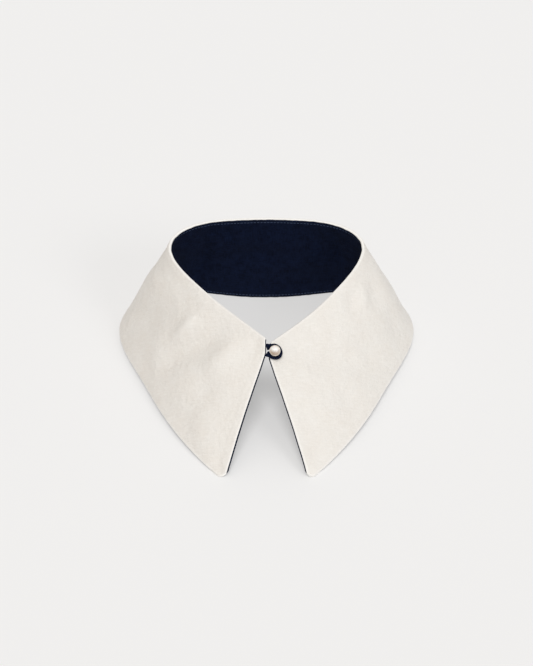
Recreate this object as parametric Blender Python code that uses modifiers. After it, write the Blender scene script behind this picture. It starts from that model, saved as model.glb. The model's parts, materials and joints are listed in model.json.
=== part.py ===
"""Detachable shirt collar, buttoned into a ring and standing on its hem.

Two layers of cloth, an outer and a lining, are sewn together round their edges. A rouleau loop in
the left front seam passes round a bead button on the right point. +Z is up and the wearer faces -Y.
Sizes are in millimetres and become metres where the meshes are made.
"""
import math

import bpy
import numpy as np
from mathutils import Vector

MM = 0.001

# Cloth
LAYER = 1.0            # thickness of each layer, with its turned-in seam allowance
SEAM_GAP = 0.3         # clear space between pieces that are sewn together
NECK_ROLL = 0.8        # the outer stands this far above the lining at the neck edge
HEM_ROLL = 2.2         # the lining stops this far short of the outer at the hem
FRONT_PROUD = 0.6      # the lining shows this far past the outer along the front edges
TIP_RADIUS = 4.2       # round of each point
PLACKET = 9.4          # length of each front edge, from the neck, that runs straight down
PLACKET_SHIFT = {"left": 3.4, "right": 4.9}    # how far it stands out towards the other front
PLACKET_FADE = 1.8     # power by which that shift dies away down the front edge
PLACKET_REACH = 0.22   # share of the half collar over which that shift dies away
FRONT_DRIFT = 1.2      # the ring closes slightly towards its own right-hand side

# Half the collar in plan, from the centre of the back to the front edge. Each row is a stretch of it,
# with the length of the neck edge and of the hem, and the degrees that each turns towards the front.
STRETCH_COLUMNS = ("neck_length", "neck_turn", "hem_length", "hem_turn")
STRETCHES = (
    (37, 10, 46, -7),      # back
    (25, 31, 40, 42),      # into the side
    (22, 66, 48, 62),      # round the side of the neck
    (51, 27, 80, 17),      # front, beside the neck
    (46, 2, 82, 19),       # front, to the point
)
PLAN_REACH = 1.04      # the plan is worked out this far each way, past the front edges at 1
PLAN_CELLS = 2080

NECK_HEIGHT = 73.0     # of the neck edge at the centre of the back
NECK_SLOPE = 0.173     # fall of the neck edge for each millimetre forward
HEM_LIFT = 3.4         # most that the hem stands off the table, between the side and the point
HEM_LIFT_FROM = 0.15   # share of the half collar where that starts
HEM_LIFT_SKEW = 1.4    # power that moves the most lift towards the point
BOW = 2.2              # swell of the middle of each front
BOW_FROM = 0.4         # share of the half collar where that starts
RIGHT_SAG = 6.2        # most that the neck edge of the right half lies below that of the left
SAG_FROM = 0.4         # share of the half collar where that starts
SAG_PEAK = 0.8         # and where it is greatest
SAG_POWER = 1.5        # power that makes it start slowly

# Steps in t and w over which directions are taken from differences
RULING_STEP = 0.002    # between neighbouring rulings
SURFACE_STEP = 0.003   # between neighbouring points of the cloth
FRONT_STEP = 0.02      # from a front edge to the ruling that gives the cloth's run there
BUTTON_STEP = 0.05     # up and down the front from the button

# Mesh of each layer
COLUMNS = 38           # cells along half the collar, before those that round the point
TIP_CELLS = 5          # cells round the point
ROWS = 12              # cells from the neck edge to the hem

# Button on the right front, and the loop round it from the left front
BEAD_RADIUS = 3.8
BEAD_RISE = 6.2        # centre of the bead from the outer, along its shank
BEAD_LEAN = (-0.28, 0.20)          # the loop pulls the shank over: slope across, slope down the front
SHANK_RADIUS = 1.0
BUTTON_DOWN = 7.8      # from the neck edge to the button, down the front edge
BUTTON_IN = 2.8        # from the front edge to the button
ROULEAU_RADIUS = 1.25
LOOP_RADIUS = 4.5      # from the button to the middle of the rouleau
LOOP_CELLS = 14        # stretches of the loop's round part
LOOP_RISE = 1.5        # middle of the rouleau above the outer
LOOP_OPENING = math.radians(62)    # from the line to the left front to where the round starts
LEG_DOWN = (4.5, 9.5)              # from the neck edge to each end of the rouleau
LEG_CLEAR = 2.2                    # from the left front edge of the outer to the rouleau's ends

COLOURS = {
    "cream_sateen": ((0.80, 0.76, 0.69, 1.0), 0.55),
    "navy_cotton": ((0.010, 0.016, 0.045, 1.0), 0.85),
    "pearl": ((0.85, 0.80, 0.73, 1.0), 0.20),
    "shank_metal": ((0.62, 0.47, 0.24, 1.0), 0.35),
}


def running(name):
    """Running total of a column where stretches meet, from the left front edge to the right one."""
    k = STRETCH_COLUMNS.index(name)
    total = np.concatenate(([0.0], np.cumsum([row[k] for row in STRETCHES], dtype=float)))
    return np.concatenate((-total[:0:-1], total))


ENDS = running("neck_length") + running("hem_length")
ENDS /= ENDS[-1]
PLAN_T = np.linspace(-PLAN_REACH, PLAN_REACH, PLAN_CELLS + 1)


def smooth(values, t):
    """Values given where the stretches meet, at each t, by a cubic with central-difference slopes."""
    slopes = np.gradient(values, ENDS)
    i = np.clip(np.searchsorted(ENDS, t) - 1, 0, len(ENDS) - 2)
    span = ENDS[i + 1] - ENDS[i]
    s = (t - ENDS[i]) / span
    return (values[i] * (1 + 2 * s) * (1 - s) ** 2 + values[i + 1] * s * s * (3 - 2 * s)
            + span * (slopes[i] * s * (1 - s) ** 2 + slopes[i + 1] * s * s * (s - 1)))


def plan(edge):
    """An edge seen from above, at PLAN_T: across, and forward of its place at the centre of the back."""
    steps = np.diff(smooth(running(edge + "_length"), PLAN_T))
    heading = np.radians(smooth(running(edge + "_turn"), PLAN_T))
    middle = (heading[1:] + heading[:-1]) / 2
    lines = [np.concatenate(([0.0], np.cumsum(steps * way(middle)))) for way in (np.cos, np.sin)]
    return [line - line[PLAN_CELLS // 2] for line in lines]


NECK_PLAN = plan("neck")
HEM_PLAN = plan("hem")


def rounded(t, start, skew=1.0):
    """0 from the centre of the back to start, then a rounded rise and fall to 0 at the front edge."""
    share = np.clip((abs(t) - start) / (1 - start), 0.0, 1.0)
    return float(np.sin(math.pi * share ** skew))


def right_sag(t):
    """How far the neck edge lies below its slope, on the right half only."""
    share = max(0.0, (t - SAG_FROM) / (SAG_PEAK - SAG_FROM))
    return RIGHT_SAG * math.sin(math.pi / 2 * share) ** SAG_POWER


def ruling(t):
    """Neck and hem ends of the line down the cloth at t."""
    neck_x, neck_y = (float(np.interp(t, PLAN_T, line)) for line in NECK_PLAN)
    hem_x, hem_y = (float(np.interp(t, PLAN_T, line)) for line in HEM_PLAN)
    neck = Vector((neck_x + FRONT_DRIFT * abs(t) ** 3, -neck_y,
                   NECK_HEIGHT - NECK_SLOPE * neck_y - right_sag(t)))
    hem = Vector((hem_x, -hem_y, HEM_LIFT * rounded(t, HEM_LIFT_FROM, HEM_LIFT_SKEW)))
    return neck, hem


def depth(t):
    """Distance from the neck edge to the hem at t."""
    neck, hem = ruling(t)
    return (hem - neck).length


def placket_shift(t, down):
    """How far the cloth at t, down millimetres below the neck, stands out towards the other front."""
    near = max(0.0, (abs(t) - (1 - PLACKET_REACH)) / PLACKET_REACH)
    full = depth(t)
    shift = PLACKET_SHIFT["right"] if t > 0 else -PLACKET_SHIFT["left"]
    fade = max(0.0, (full - down) / (full - PLACKET))
    return shift * near ** 2 * min(down / PLACKET, fade ** PLACKET_FADE)


def surface(t, w):
    """Point of the seam between the layers. t is -1..1 round the collar, w is 0..1 down it."""
    neck, hem = ruling(t)
    along = (ruling(t + RULING_STEP)[0] - ruling(t - RULING_STEP)[0]).normalized()
    outward = along.cross(hem - neck).normalized()
    swell = BOW * rounded(t, BOW_FROM) * 4 * w * (1 - w)
    return neck.lerp(hem, w) + outward * swell + along * placket_shift(t, w * depth(t))


def normal(t, w):
    """Direction out of the cloth, away from the neck."""
    along = surface(t + SURFACE_STEP, w) - surface(t - SURFACE_STEP, w)
    down = surface(t, w + SURFACE_STEP) - surface(t, w - SURFACE_STEP)
    return along.cross(down).normalized()


def hem_per_t():
    """Millimetres of hem for each unit of t at the front edge."""
    return (ruling(1.0)[1] - ruling(1.0 - FRONT_STEP)[1]).length / FRONT_STEP


def neck_per_t():
    """Millimetres of neck edge for each unit of t at the front edge."""
    return (ruling(1.0)[0] - ruling(1.0 - FRONT_STEP)[0]).length / FRONT_STEP


def half_grid(neck_margin, hem_margin, front_margin):
    """Columns of (t, w) over the right half, cut back from each edge by a margin in millimetres.

    A negative margin stands past the edge. The hem and the front edge meet in a circular arc: a
    conic with equal tangents and the cosine of half its turn as its weight.
    """
    neck_end, corner = ruling(1.0)
    t_front = 1.0 - front_margin / hem_per_t()
    hem_way = (ruling(1.0 - FRONT_STEP)[1] - corner).normalized()
    half_corner = hem_way.angle(neck_end - corner) / 2
    tangent = TIP_RADIUS / math.tan(half_corner)
    weight = math.sin(half_corner)
    t_arc = t_front - tangent / hem_per_t()
    w_corner = 1.0 - hem_margin / depth(1.0)
    w_arc = w_corner - tangent / depth(1.0)
    ends = [(t, 1.0 - hem_margin / depth(t)) for t in np.linspace(0.0, t_arc, COLUMNS + 1)]
    for s in np.arange(1, TIP_CELLS + 1) / TIP_CELLS:
        a, b, c = (1 - s) ** 2, 2 * weight * s * (1 - s), s * s
        t = (a * t_arc + (b + c) * t_front) / (a + b + c)
        w = ((a + b) * w_corner + c * w_arc) / (a + b + c)
        ends.append((t, w))
    grid = []
    for t, bottom in ends:
        top = neck_margin / depth(t)
        grid.append([(t, top + (bottom - top) * j / ROWS) for j in range(ROWS + 1)])
    return grid


def cloth(name, material, offset, margins, collection):
    """One layer: an open surface at a distance outside the seam, thickened by Solidify."""
    right = half_grid(*margins)
    left = [[(-t, w) for t, w in cells] for cells in right[:0:-1]]
    points, columns = [], []
    for cells in left + right:
        columns.append(range(len(points), len(points) + len(cells)))
        points += [(surface(t, w) + normal(t, w) * offset) * MM for t, w in cells]
    faces = []
    for here, beyond in zip(columns, columns[1:]):
        for j in range(ROWS):
            faces.append((here[j], here[j + 1], beyond[j + 1], beyond[j]))
    mesh = bpy.data.meshes.new(name)
    mesh.from_pydata(points, [], faces)
    mesh.shade_smooth()
    piece = bpy.data.objects.new(name, mesh)
    collection.objects.link(piece)
    solid = piece.modifiers.new("thickness", "SOLIDIFY")
    solid.thickness = LAYER * MM
    solid.offset = 0.0
    mesh.materials.append(material)
    return piece


def button_frame():
    """Base of the button on the outer, with the directions across, down the front edge and out."""
    t = 1.0 - BUTTON_IN / neck_per_t()
    w = BUTTON_DOWN / depth(t)
    out = normal(t, w)
    base = surface(t, w) + out * (SEAM_GAP / 2 + LAYER)
    down = surface(t, w + BUTTON_STEP) - surface(t, w - BUTTON_STEP)
    across = out.cross(down).normalized()
    return base, across, across.cross(out), out


def loop_points():
    """Middle line of the rouleau: out of the left front seam, round the button and back."""
    base, across, down, out = button_frame()
    centre = base + out * LOOP_RISE
    left_edge = -1.0 - LEG_CLEAR / neck_per_t()
    legs = [surface(left_edge, leg / depth(-1.0)) for leg in LEG_DOWN]
    round_part = []
    for angle in np.linspace(LOOP_OPENING, 2 * math.pi - LOOP_OPENING, LOOP_CELLS + 1):
        round_part.append(centre - (across * math.cos(angle) + down * math.sin(angle)) * LOOP_RADIUS)
    return [legs[0]] + round_part + [legs[1]]


def rouleau(material, collection):
    curve = bpy.data.curves.new("button_loop", "CURVE")
    curve.dimensions = "3D"
    curve.bevel_depth = ROULEAU_RADIUS * MM
    curve.bevel_resolution = 2
    curve.use_fill_caps = True
    points = [point * MM for point in loop_points()]
    spline = curve.splines.new("POLY")
    spline.points.add(len(points) - 1)
    for place, point in zip(spline.points, points):
        place.co = (*point, 1.0)
    piece = bpy.data.objects.new("button_loop", curve)
    curve.materials.append(material)
    collection.objects.link(piece)


def take_new_object(name, material, collection):
    """Name the object that an operator has just made and move it to the collection."""
    piece = bpy.context.object
    for old in list(piece.users_collection):
        old.objects.unlink(piece)
    collection.objects.link(piece)
    piece.name = piece.data.name = name
    piece.data.shade_smooth()
    piece.data.materials.append(material)
    return piece


def button(pearl, metal, collection):
    """Bead with a short shank under it, on the right front, pulled over towards the left."""
    base, across, down, out = button_frame()
    lean = (out + across * BEAD_LEAN[0] + down * BEAD_LEAN[1]).normalized()
    turn = lean.to_track_quat("Z", "Y").to_euler()
    bpy.ops.mesh.primitive_uv_sphere_add(segments=24, ring_count=14, radius=BEAD_RADIUS * MM,
                                         location=(base + lean * BEAD_RISE) * MM, rotation=turn)
    take_new_object("bead", pearl, collection)
    low = SEAM_GAP + SHANK_RADIUS * abs(BEAD_LEAN[0])
    high = BEAD_RISE - BEAD_RADIUS - SEAM_GAP
    bpy.ops.mesh.primitive_cylinder_add(vertices=16, radius=SHANK_RADIUS * MM, depth=(high - low) * MM,
                                        location=(base + lean * (low + high) / 2) * MM, rotation=turn)
    take_new_object("shank", metal, collection)


def make_material(name):
    colour, roughness = COLOURS[name]
    material = bpy.data.materials.new(name)
    material.use_nodes = True
    shader = material.node_tree.nodes["Principled BSDF"]
    shader.inputs["Base Color"].default_value = colour
    shader.inputs["Roughness"].default_value = roughness
    shader.inputs["Metallic"].default_value = 1.0 if name == "shank_metal" else 0.0
    return material


def centre(cloth_piece, collection):
    """Move every piece so that the origin is under the middle of the cloth, front to back."""
    bpy.context.view_layer.update()
    evaluated = cloth_piece.evaluated_get(bpy.context.evaluated_depsgraph_get())
    reach = [corner[1] for corner in evaluated.bound_box]
    for piece in collection.objects:
        piece.location.y -= (min(reach) + max(reach)) / 2


def main():
    for old in list(bpy.data.objects):
        bpy.data.objects.remove(old)
    collection = bpy.data.collections.new("detachable_collar")
    bpy.context.scene.collection.children.link(collection)
    materials = {name: make_material(name) for name in COLOURS}
    apart = (LAYER + SEAM_GAP) / 2
    outer = cloth("outer_collar", materials["cream_sateen"], apart, (0.0, 0.0, 0.0), collection)
    cloth("lining", materials["navy_cotton"], -apart, (NECK_ROLL, HEM_ROLL, -FRONT_PROUD), collection)
    rouleau(materials["navy_cotton"], collection)
    button(materials["pearl"], materials["shank_metal"], collection)
    centre(outer, collection)


main()
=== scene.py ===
"""Looks of the detachable shirt collar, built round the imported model.

Two shells of cloth, the outer and the lining, stand on the collar's own form, with their rolled
edges, seam allowances and creases. The lining's understitching, the rouleau loop, the pearl and its
shank are separate pieces. +Z is up and the wearer faces -Y. Sizes are in millimetres, as in the
part's own source, and become metres where the meshes are made.
"""
import json
import math

import bpy
import numpy as np
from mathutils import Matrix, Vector


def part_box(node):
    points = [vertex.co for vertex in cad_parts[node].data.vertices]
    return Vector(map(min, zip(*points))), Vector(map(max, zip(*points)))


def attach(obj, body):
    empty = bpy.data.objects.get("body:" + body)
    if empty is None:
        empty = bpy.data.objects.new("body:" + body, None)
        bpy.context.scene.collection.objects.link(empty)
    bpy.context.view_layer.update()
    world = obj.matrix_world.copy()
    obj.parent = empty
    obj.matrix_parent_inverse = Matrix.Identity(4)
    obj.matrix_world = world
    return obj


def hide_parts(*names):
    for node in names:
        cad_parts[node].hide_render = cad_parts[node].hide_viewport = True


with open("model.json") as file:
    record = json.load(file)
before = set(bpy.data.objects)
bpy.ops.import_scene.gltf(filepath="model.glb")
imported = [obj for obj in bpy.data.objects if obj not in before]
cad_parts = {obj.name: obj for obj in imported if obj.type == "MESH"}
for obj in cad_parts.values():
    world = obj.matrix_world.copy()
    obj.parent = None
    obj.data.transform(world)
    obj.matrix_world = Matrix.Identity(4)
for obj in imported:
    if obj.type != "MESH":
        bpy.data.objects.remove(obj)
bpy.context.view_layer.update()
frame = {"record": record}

MM = 0.001
BODY = "root"

# ---------------- Form

LAYER = 1.0             # thickness of each layer
LAYER_OFFSET = 0.53     # middle of each layer from the seam between them
CAD_SEAM = 0.15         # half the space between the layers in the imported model
NECK_ROLL = 0.8         # the outer stands this far above the lining at the neck edge
HEM_ROLL = 0.35         # the lining stops this far short of the outer at the hem, or more
TABLE_CLEAR = 0.15      # least height of the lining above the table
FRONT_PROUD = {"left": 0.75, "right": 0.50}  # the lining shows this far past the outer's front edges
TIP_RADIUS = 4.2        # round of each point
PLACKET = 9.4           # length of each front edge, from the neck, that runs straight down
PLACKET_SHIFT = {"left": 3.4, "right": 4.9}    # how far it stands out towards the other front
PLACKET_FADE = 1.8      # power by which that shift dies away down the front edge
PLACKET_REACH = 0.22    # share of the half collar over which that shift dies away
FRONT_DRIFT = 1.2       # the ring closes slightly towards its own right-hand side

# Half the collar in plan, from the centre of the back to the front edge. Each row is a stretch of it,
# with the length of the neck edge and of the hem, and the degrees that each turns towards the front.
STRETCH_COLUMNS = ("neck_length", "neck_turn", "hem_length", "hem_turn")
STRETCHES = (
    (37, 10, 46, -7),      # back
    (25, 31, 40, 42),      # into the side
    (22, 66, 48, 62),      # round the side of the neck
    (51, 27, 80, 17),      # front, beside the neck
    (46, 2, 82, 19),       # front, to the point
)
PLAN_REACH = 1.04      # the plan is worked out this far each way, past the front edges at 1
PLAN_CELLS = 2080

NECK_HEIGHT = 73.0     # of the neck edge at the centre of the back
NECK_SLOPE = 0.173     # fall of the neck edge for each millimetre forward
HEM_LIFT = 3.4         # most that the hem stands off the table, between the side and the point
HEM_LIFT_FROM = 0.15   # share of the half collar where that starts
HEM_LIFT_SKEW = 1.4    # power that moves the most lift towards the point
BOW = 2.2              # swell of the middle of each front
BOW_FROM = 0.4         # share of the half collar where that starts
RIGHT_SAG = 6.2        # most that the neck edge of the right half lies below that of the left
SAG_FROM = 0.4         # share of the half collar where that starts
SAG_PEAK = 0.8         # and where it is greatest
SAG_POWER = 1.5        # power that makes it start slowly

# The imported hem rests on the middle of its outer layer, which is outside the seam at the back
NECK_CENTRE_Y = frame["record"]["mounts"][0]["pos_m"][1] / MM - (CAD_SEAM + LAYER / 2)

# Steps in t and w over which directions are taken from differences
RULING_STEP = 0.002
SURFACE_STEP = 0.003
FRONT_STEP = 0.02
BUTTON_STEP = 0.05


def running(name):
    """Running total of a column where stretches meet, from the left front edge to the right one."""
    k = STRETCH_COLUMNS.index(name)
    total = np.concatenate(([0.0], np.cumsum([row[k] for row in STRETCHES], dtype=float)))
    return np.concatenate((-total[:0:-1], total))


ENDS = running("neck_length") + running("hem_length")
ENDS /= ENDS[-1]
PLAN_T = np.linspace(-PLAN_REACH, PLAN_REACH, PLAN_CELLS + 1)


def smooth(values, t):
    """Values given where the stretches meet, at each t, by a cubic with central-difference slopes."""
    slopes = np.gradient(values, ENDS)
    i = np.clip(np.searchsorted(ENDS, t) - 1, 0, len(ENDS) - 2)
    span = ENDS[i + 1] - ENDS[i]
    s = (t - ENDS[i]) / span
    return (values[i] * (1 + 2 * s) * (1 - s) ** 2 + values[i + 1] * s * s * (3 - 2 * s)
            + span * (slopes[i] * s * (1 - s) ** 2 + slopes[i + 1] * s * s * (s - 1)))


def plan(edge):
    """An edge seen from above, at PLAN_T: across, and forward of its place at the centre of the back."""
    steps = np.diff(smooth(running(edge + "_length"), PLAN_T))
    heading = np.radians(smooth(running(edge + "_turn"), PLAN_T))
    middle = (heading[1:] + heading[:-1]) / 2
    lines = [np.concatenate(([0.0], np.cumsum(steps * way(middle)))) for way in (np.cos, np.sin)]
    return [line - line[PLAN_CELLS // 2] for line in lines]


NECK_PLAN = plan("neck")
HEM_PLAN = plan("hem")


def rounded(t, start, skew=1.0):
    """0 from the centre of the back to start, then a rounded rise and fall to 0 at the front edge."""
    share = np.clip((np.abs(t) - start) / (1 - start), 0.0, 1.0)
    return np.sin(math.pi * share ** skew)


def right_sag(t):
    """How far the neck edge lies below its slope, on the right half only."""
    share = np.maximum(0.0, (t - SAG_FROM) / (SAG_PEAK - SAG_FROM))
    return RIGHT_SAG * np.sin(math.pi / 2 * share) ** SAG_POWER


def unit(vectors):
    """The vectors, each of length 1."""
    return vectors / np.linalg.norm(vectors, axis=-1, keepdims=True)


def ramp(x):
    """0 below 0, 1 above 1 and smooth between."""
    x = np.clip(x, 0.0, 1.0)
    return x * x * (3 - 2 * x)


def path_run(path):
    """Distance along a path at each of its points."""
    return np.concatenate(([0.0], np.cumsum(np.linalg.norm(np.diff(path, axis=0), axis=1))))


def off_stretches(to, way):
    """Distance of points from straight stretches, and the share of each stretch that is nearest."""
    share = np.clip((to * way).sum(-1) / np.maximum((way * way).sum(-1), 1e-9), 0.0, 1.0)
    return np.linalg.norm(to - way * share[..., None], axis=-1), share


def ruling(t):
    """Neck and hem ends of the line down the cloth at each t."""
    t = np.asarray(t, float)
    neck_x, neck_y = (np.interp(t, PLAN_T, line) for line in NECK_PLAN)
    hem_x, hem_y = (np.interp(t, PLAN_T, line) for line in HEM_PLAN)
    neck = np.stack((neck_x + FRONT_DRIFT * np.abs(t) ** 3, NECK_CENTRE_Y - neck_y,
                     NECK_HEIGHT - NECK_SLOPE * neck_y - right_sag(t)), axis=-1)
    hem = np.stack((hem_x, NECK_CENTRE_Y - hem_y,
                    HEM_LIFT * rounded(t, HEM_LIFT_FROM, HEM_LIFT_SKEW)), axis=-1)
    return neck, hem


def depth(t):
    """Distance from the neck edge to the hem at each t."""
    neck, hem = ruling(t)
    return np.linalg.norm(hem - neck, axis=-1)


def placket_shift(t, down):
    """How far the cloth at t, down millimetres below the neck, stands out towards the other front."""
    near = np.maximum(0.0, (np.abs(t) - (1 - PLACKET_REACH)) / PLACKET_REACH)
    full = depth(t)
    shift = np.where(t > 0, PLACKET_SHIFT["right"], -PLACKET_SHIFT["left"])
    fade = np.maximum(0.0, (full - down) / (full - PLACKET))
    return shift * near ** 2 * np.minimum(down / PLACKET, fade ** PLACKET_FADE)


def surface(t, w):
    """Points of the seam between the layers. t is -1..1 round the collar, w is 0..1 down it."""
    t, w = np.broadcast_arrays(np.asarray(t, float), np.asarray(w, float))
    neck, hem = ruling(t)
    along = unit(ruling(t + RULING_STEP)[0] - ruling(t - RULING_STEP)[0])
    outward = unit(np.cross(along, hem - neck))
    swell = BOW * rounded(t, BOW_FROM) * 4 * w * (1 - w)
    shift = placket_shift(t, w * depth(t))
    return neck + (hem - neck) * w[..., None] + outward * swell[..., None] + along * shift[..., None]


def normal(t, w):
    """Direction out of the cloth, away from the neck."""
    along = surface(t + SURFACE_STEP, w) - surface(t - SURFACE_STEP, w)
    down = surface(t, w + SURFACE_STEP) - surface(t, w - SURFACE_STEP)
    return unit(np.cross(along, down))


def front_run(end):
    """Millimetres of neck edge (end 0) or hem (end 1) for each unit of t at the front edge."""
    return float(np.linalg.norm(ruling(1.0)[end] - ruling(1.0 - FRONT_STEP)[end])) / FRONT_STEP


# ---------------- Relief

# Creases of both layers. along and down place the middle of each: millimetres round the collar from
# the centre of the back, under 0 on the left, and millimetres down from the neck edge. lean is in
# degrees from straight down the cloth, over 0 where the foot of the crease is the nearer to the front.
# bend moves its middle down. depth is over 0 for a ridge and under 0 for a trough, seen from outside.
CREASE_COLUMNS = ("along", "down", "lean", "length", "bend", "width", "depth")
CREASES = (
    # left front
    (-126, 40, -45, 57, 3, 11.0, -4.0),
    (-162, 29, -20, 28, -2, 5.0, 2.6),
    (-176, 35, -41, 72, 3, 10.0, -3.8),
    (-205, 30, -30, 39, -2, 8.0, 2.3),
    (-204, 54, -10, 18, 0, 7.0, -0.9),
    (-229, 8, 70, 10, 0, 3.5, -0.8),
    (-209, 78, 32, 24, 0, 8.0, 1.0),
    (-232, 96, 10, 12, 0, 3.5, -0.7),
    (-109, 23, 90, 20, 0, 4.0, 0.9),
    # right front
    (132, 19, 46, 18, 0, 4.0, 1.2),
    (145, 15, 46, 17, 0, 5.0, -1.3),
    (119, 23, 40, 34, 1, 9.0, -2.1),
    (121, 54, 10, 30, 0, 9.0, -1.5),
    (178, 42, -65, 76, -2, 9.0, -2.6),
    (164, 47, -50, 18, 0, 6.0, 1.0),
    (191, 11, -30, 12, 0, 4.0, -0.8),
    (212, 14, -35, 10, 0, 3.5, -0.6),
    (191, 62, -20, 26, 0, 9.0, -1.2),
    # back, as seen from inside
    (-45, 38, 0, 64, 0, 5.0, 2.0),
    (-41, 8, 0, 12, 0, 3.0, 1.1),
    (-29, 12, -25, 16, 0, 3.0, 1.5),
    (-6, 40, 90, 42, -8, 7.0, 1.2),
    (23, 11, 0, 15, 0, 3.5, 0.8),
    (38, 18, 0, 32, 0, 4.0, 1.5),
    (52, 24, 0, 42, 0, 5.0, 1.9),
    (-42, 64, 12, 14, 0, 3.0, 0.6),
    # round the sides and behind
    (-68, 30, 12, 34, 1, 7.0, -0.8),
    (-88, 44, -8, 40, 1, 9.0, 1.0),
    (66, 40, -10, 30, 1, 8.0, -0.7),
    (90, 50, 6, 36, -1, 9.0, 0.9),
    (8, 20, -18, 22, 0, 6.0, -0.5),
    (-14, 60, 60, 20, 1, 7.0, 0.5),
)
HALF_GIRTH = (sum(row[0] for row in STRETCHES) + sum(row[2] for row in STRETCHES)) / 2
CREASE_CELLS = 20
CREASE_REACH = 3.0      # times its width from which a crease is left out
CREASE_FADE = 0.8       # power by which it dies away towards its ends
CREASE_END = 0.02       # share of it at each end that is as faint as the very end

# Slow waves of the whole cloth, over the flat cut
WAVE_SEED = 11
WAVE_COUNT = 12
WAVE_LENGTHS = (18.0, 62.0)
WAVE_DEPTH = 0.10       # of each wave, for each 40 mm of its length
WAVE_SIZE = 40.0

# Small puckers along the sewn edges
PUCKER_LENGTHS = (9.7, 6.3, 4.1)
PUCKER_DEPTHS = (0.075, 0.05, 0.03)
PUCKER_REACH = 3.6
PUCKER_DRIFT = 2.4      # radians that they run ahead of an even spacing, or behind it
PUCKER_DRIFT_RUN = 5.1  # lengths of a pucker over which that changes by one radian
PUCKER_HEM = 1.37       # run of the hem for each millimetre of the neck edge, as the puckers take it
EDGE_CALM = 9.0         # creases and waves die away over this distance from the neck edge and hem
EDGE_SHARE = 0.15       # and keep this share of their depth there


def flat_cut(t):
    """Neck and hem ends of each ruling on the flat cut, unrolled from the centre of the back.

    t runs from the left front edge to the right one and holds 0. The cloth bends along its rulings
    only, so each strip between two of them is laid flat as two triangles.
    """
    neck, hem = ruling(t)
    centre = int(np.argmin(np.abs(t)))
    flat_neck, flat_hem = np.zeros((len(t), 2)), np.zeros((len(t), 2))
    flat_hem[centre] = (0.0, -np.linalg.norm(hem[centre] - neck[centre]))

    def third(a, b, to_a, to_b, side):
        """The third corner of a triangle on a and b, on the given side."""
        base = np.linalg.norm(b - a)
        x = (to_a ** 2 - to_b ** 2 + base ** 2) / (2 * base)
        y = math.sqrt(max(0.0, to_a ** 2 - x ** 2)) * side
        way = (b - a) / base
        return a + way * x + np.array([-way[1], way[0]]) * y

    for side, order in ((1, range(centre + 1, len(t))), (-1, range(centre - 1, -1, -1))):
        for i in order:
            last = i - side
            flat_neck[i] = third(flat_neck[last], flat_hem[last], np.linalg.norm(neck[i] - neck[last]),
                                 np.linalg.norm(neck[i] - hem[last]), side)
            flat_hem[i] = third(flat_neck[i], flat_hem[last], np.linalg.norm(hem[i] - neck[i]),
                                np.linalg.norm(hem[i] - hem[last]), side)
    return flat_neck, flat_hem


FLAT_REACH = 1.02       # the cut is worked out this far each way, past the front edges at 1
FLAT_CELLS = 408
FLAT_T = np.linspace(-FLAT_REACH, FLAT_REACH, FLAT_CELLS + 1)
FLAT_NECK, FLAT_HEM = flat_cut(FLAT_T)
NECK_RUN = path_run(FLAT_NECK)


def flat(t, w):
    """Place on the flat cut, in millimetres: across it and up it."""
    ends = [np.stack([np.interp(t, FLAT_T, end[:, k]) for k in (0, 1)], axis=-1)
            for end in (FLAT_NECK, FLAT_HEM)]
    return ends[0] + (ends[1] - ends[0]) * w[..., None]


def crease_lift(points):
    """Lift of every crease at each point of the seam surface."""
    lift = np.zeros(len(points))
    s = np.linspace(-0.5, 0.5, CREASE_CELLS + 1)
    for row in CREASES:
        c = dict(zip(CREASE_COLUMNS, row))
        lean = math.radians(c["lean"])
        forward = math.copysign(1.0, c["along"]) * math.sin(lean)
        t = (c["along"] + c["length"] * forward * s) / HALF_GIRTH
        down = c["down"] + c["length"] * math.cos(lean) * s + c["bend"] * np.cos(math.pi * s)
        path = surface(t, down / depth(t))
        reach = np.linalg.norm(path[-1] - path[0]) / 2 + CREASE_REACH * c["width"]
        near = np.flatnonzero(np.linalg.norm(points - path.mean(axis=0), axis=1) < reach)
        apart, share = off_stretches(points[near, None] - path[:-1], np.diff(path, axis=0))
        nearest = apart.argmin(axis=1)
        rows = np.arange(len(near))
        reached = (nearest + share[rows, nearest]) / CREASE_CELLS
        fade = np.sin(math.pi * np.clip(reached, CREASE_END, 1 - CREASE_END)) ** CREASE_FADE
        lift[near] += c["depth"] * fade * np.exp(-(apart[rows, nearest] / c["width"]) ** 2)
    return lift


def wave_lift(places):
    """Slow waves over the flat cut, some long and some short, each its own way."""
    random = np.random.default_rng(WAVE_SEED)
    lift = np.zeros(len(places))
    for _ in range(WAVE_COUNT):
        length = random.uniform(*WAVE_LENGTHS)
        way = random.uniform(0.0, math.pi)
        phase = random.uniform(0.0, 2 * math.pi)
        run = places @ np.array([math.cos(way), math.sin(way)])
        lift += WAVE_DEPTH * length / WAVE_SIZE * np.sin(2 * math.pi * run / length + phase)
    return lift


def pucker_lift(run, off_edge):
    """Small uneven puckers along a sewn edge, at a distance off it."""
    lift = np.zeros_like(run)
    for k, (length, size) in enumerate(zip(PUCKER_LENGTHS, PUCKER_DEPTHS)):
        drift = PUCKER_DRIFT * np.sin(run / (PUCKER_DRIFT_RUN * length) + k)
        lift += size * np.sin(2 * math.pi * run / length + drift)
    return lift * np.exp(-off_edge / PUCKER_REACH)


def relief(t, w):
    """Lift of the cloth along its normal, the same for both layers, at arrays of places."""
    shape = t.shape
    t, w = t.ravel(), w.ravel()
    full = depth(t)
    off_neck, off_hem = np.clip(w, 0, 1) * full, np.clip(1 - w, 0, 1) * full
    calm = EDGE_SHARE + (1 - EDGE_SHARE) * ramp(np.minimum(off_neck, off_hem) / EDGE_CALM)
    lift = (crease_lift(surface(t, w)) + wave_lift(flat(t, w))) * calm
    run = np.interp(t, FLAT_T, NECK_RUN)
    lift += pucker_lift(run, off_neck) + pucker_lift(run * PUCKER_HEM, off_hem)
    return lift.reshape(shape)


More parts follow.
